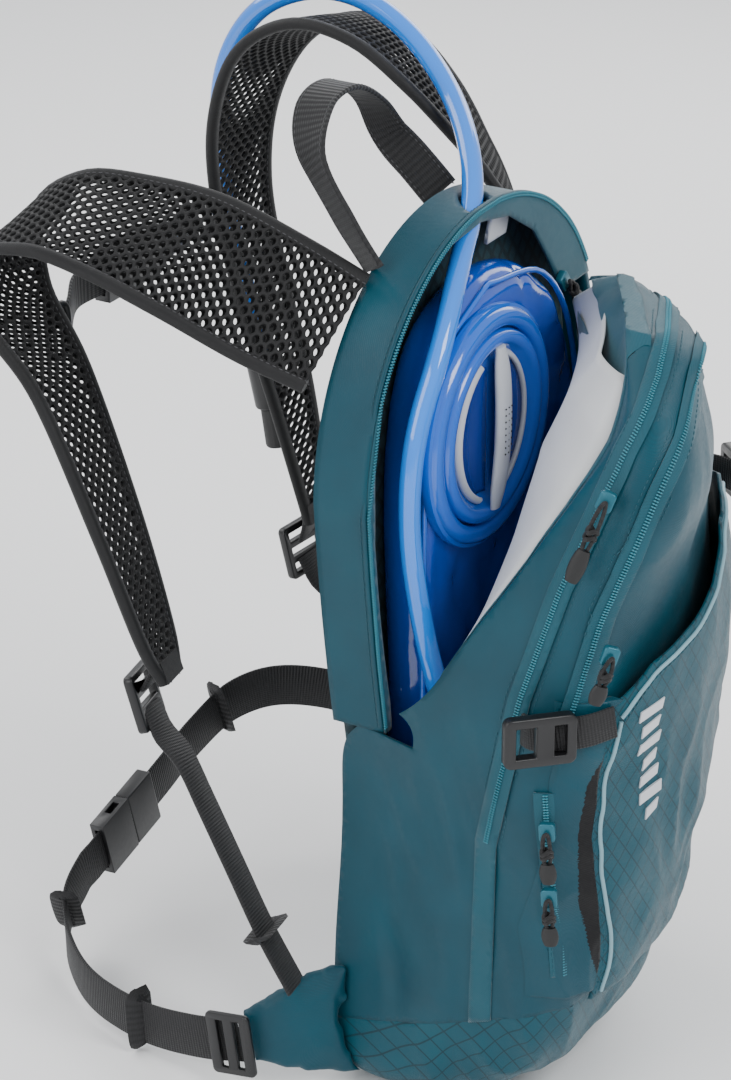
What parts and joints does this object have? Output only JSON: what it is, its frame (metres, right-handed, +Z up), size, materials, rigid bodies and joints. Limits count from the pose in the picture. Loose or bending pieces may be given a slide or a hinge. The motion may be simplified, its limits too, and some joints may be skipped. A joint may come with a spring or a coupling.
{
  "type": "hydration pack",
  "caption": "Small hydration backpack with an open reservoir sleeve, water bladder, drinking hose, harness, chest strap and waist belt.",
  "frame": {"origin": "middle of the face that rests on the wearer's back", "axes": "+X to the wearer's right, +Y towards the wearer, +Z up"},
  "size_m": [0.3009, 0.3651, 0.5169],
  "materials": {
    "foam_mesh": "spacer mesh over foam",
    "shell_fabric": "plain-weave nylon with a light coating",
    "ripstop_fabric": "ripstop nylon with a diamond grid",
    "liner_fabric": "light grey coated lining",
    "stretch_mesh": "black stretch mesh",
    "zip_tape": "coil zipper on woven tape",
    "zip_metal": "painted die casting",
    "hard_plastic": "fine moulded texture",
    "reservoir_film": "clear blue film",
    "blue_plastic": "glossy translucent blue",
    "hose_tube": "glossy translucent blue",
    "grip_rubber": "light grey soft-touch",
    "strap_mesh": "open mesh with bound edges",
    "webbing": "woven polyester webbing"
  },
  "bodies": {
    "root": {"adjust_webbing_left": "webbing", "adjust_webbing_right": "webbing", "back_pad_spine": "foam_mesh", "back_pads_left": "foam_mesh", "back_pads_right": "foam_mesh", "back_panel": "foam_mesh", "base_panel": "ripstop_fabric", "belt_buckle_body": "hard_plastic", "belt_triglide_left": "hard_plastic", "belt_triglide_right": "hard_plastic", "belt_webbing_left": "webbing", "belt_webbing_right": "webbing", "bite_valve_body": "hard_plastic", "bite_valve_tip": "grip_rubber", "drink_hose": "hose_tube", "filler_ring": "blue_plastic", "front_shell": "shell_fabric", "hip_wing_left": "shell_fabric", "hip_wing_right": "shell_fabric", "main_zip": "zip_tape", "pocket_divider": "liner_fabric", "pocket_shell": "shell_fabric", "pocket_zip": "zip_tape", "rear_shell": "shell_fabric", "reservoir_bag": "reservoir_film", "reservoir_divider": "liner_fabric", "reservoir_hanger": "liner_fabric", "reservoir_outlet": "blue_plastic", "reservoir_zip_front": "zip_tape", "reservoir_zip_rear": "zip_tape", "shoulder_strap_left": "strap_mesh", "shoulder_strap_right": "strap_mesh", "side_zip": "zip_tape", "stash_gusset_left": "stretch_mesh", "stash_gusset_right": "stretch_mesh", "stash_panel": "ripstop_fabric", "sternum_buckle_body": "hard_plastic", "sternum_webbing_left": "webbing", "sternum_webbing_right": "webbing"},
    "cap": {"filler_cap": "blue_plastic", "cap_grip": "grip_rubber"},
    "reservoir_slider": {"reservoir_slider": "zip_metal"},
    "reservoir_pull": {"reservoir_pull": "hard_plastic"},
    "main_slider": {"main_slider": "zip_metal"},
    "main_pull": {"main_pull": "hard_plastic"},
    "pocket_slider": {"pocket_slider": "zip_metal"},
    "pocket_pull": {"pocket_pull": "hard_plastic"},
    "side_upper_slider": {"side_upper_slider": "zip_metal"},
    "side_upper_pull": {"side_upper_pull": "hard_plastic"},
    "side_lower_slider": {"side_lower_slider": "zip_metal"},
    "side_lower_pull": {"side_lower_pull": "hard_plastic"},
    "hook_left": {"helmet_hook_left": "hard_plastic"},
    "hook_right": {"helmet_hook_right": "hard_plastic"},
    "belt_plug": {"belt_buckle_plug": "hard_plastic"},
    "sternum_plug": {"sternum_buckle_plug": "hard_plastic"},
    "lock_left": {"ladderlock_left": "hard_plastic"},
    "lock_right": {"ladderlock_right": "hard_plastic"},
    "lever": {"shutoff_lever": "grip_rubber"},
    "handle": {"haul_handle": "webbing"}
  },
  "joints": [
    {"name": "cap_turn", "type": "hinge", "parent": "root", "child": "cap", "pos_m": [-0.027, -0.045, 0.113], "axis": [0, -1, 0], "range_deg": [0, 90]},
    {"name": "reservoir_zip_slide", "type": "slide", "parent": "root", "child": "reservoir_slider", "axis": [-0.6, 0, 0.8], "range_m": [0, 0.035]},
    {"name": "reservoir_pull_swing", "type": "hinge", "parent": "reservoir_slider", "child": "reservoir_pull", "pos_m": [0.074, -0.0393, 0.153], "axis": [-0.8, 0, -0.6], "range_deg": [0, 60]},
    {"name": "main_zip_slide", "type": "slide", "parent": "root", "child": "main_slider", "axis": [0.1961, -0.2972, 0.9345], "range_m": [-0.06, 0]},
    {"name": "main_pull_swing", "type": "hinge", "parent": "main_slider", "child": "main_pull", "pos_m": [-0.11096, -0.15292, 0.12764], "axis": [-0.2549, 0.9045, 0.3418], "range_deg": [0, 70]},
    {"name": "pocket_zip_slide", "type": "slide", "parent": "root", "child": "pocket_slider", "axis": [0.187, -0.25, 0.95], "range_m": [0, 0.04]},
    {"name": "pocket_pull_swing", "type": "hinge", "parent": "pocket_slider", "child": "pocket_pull", "pos_m": [-0.11704, -0.16178, 0.052], "axis": [-0.57, 0.7601, 0.312], "range_deg": [0, 70]},
    {"name": "side_zip_upper_slide", "type": "slide", "parent": "root", "child": "side_upper_slider", "axis": [-0.023, 0.073, 0.9971], "range_m": [0, 0.012]},
    {"name": "side_upper_pull_swing", "type": "hinge", "parent": "side_upper_slider", "child": "side_upper_pull", "pos_m": [-0.12201, -0.1319, -0.048], "axis": [-0.3, 0.9509, -0.076], "range_deg": [0, 70]},
    {"name": "side_zip_lower_slide", "type": "slide", "parent": "root", "child": "side_lower_slider", "axis": [-0.023, 0.073, 0.9971], "range_m": [-0.035, 0]},
    {"name": "side_lower_pull_swing", "type": "hinge", "parent": "side_lower_slider", "child": "side_lower_pull", "pos_m": [-0.12201, -0.1339, -0.084], "axis": [-0.3, 0.9509, -0.076], "range_deg": [0, 70]},
    {"name": "hook_left_swing", "type": "hinge", "parent": "root", "child": "hook_left", "pos_m": [-0.11669, -0.14085, 0.006], "axis": [0, 0, 1], "range_deg": [0, 60]},
    {"name": "hook_right_swing", "type": "hinge", "parent": "root", "child": "hook_right", "pos_m": [0.10734, -0.12924, 0.046], "axis": [0, 0, -1], "range_deg": [0, 60]},
    {"name": "belt_buckle_release", "type": "slide", "parent": "root", "child": "belt_plug", "axis": [0.9714, 0.03, 0.2353], "range_m": [0, 0.016]},
    {"name": "sternum_buckle_release", "type": "slide", "parent": "root", "child": "sternum_plug", "axis": [1, 0, 0], "range_m": [0, 0.016]},
    {"name": "ladderlock_left_tilt", "type": "hinge", "parent": "root", "child": "lock_left", "pos_m": [-0.12265, 0.09986, -0.01981], "axis": [0.9682, 0.2385, -0.0753], "range_deg": [0, 25]},
    {"name": "ladderlock_right_tilt", "type": "hinge", "parent": "root", "child": "lock_right", "pos_m": [0.11897, 0.14987, -0.04529], "axis": [0.9783, -0.1874, 0.0882], "range_deg": [0, 25]},
    {"name": "shutoff_lever_turn", "type": "hinge", "parent": "root", "child": "lever", "pos_m": [0.10722, 0.16287, 0.04323], "axis": [1, 0, 0], "range_deg": [-45, 0]},
    {"name": "haul_handle_fold", "type": "hinge", "parent": "root", "child": "handle", "pos_m": [0, 0.004, 0.205], "axis": [-1, 0, 0], "range_deg": [0, 40]}
  ]
}
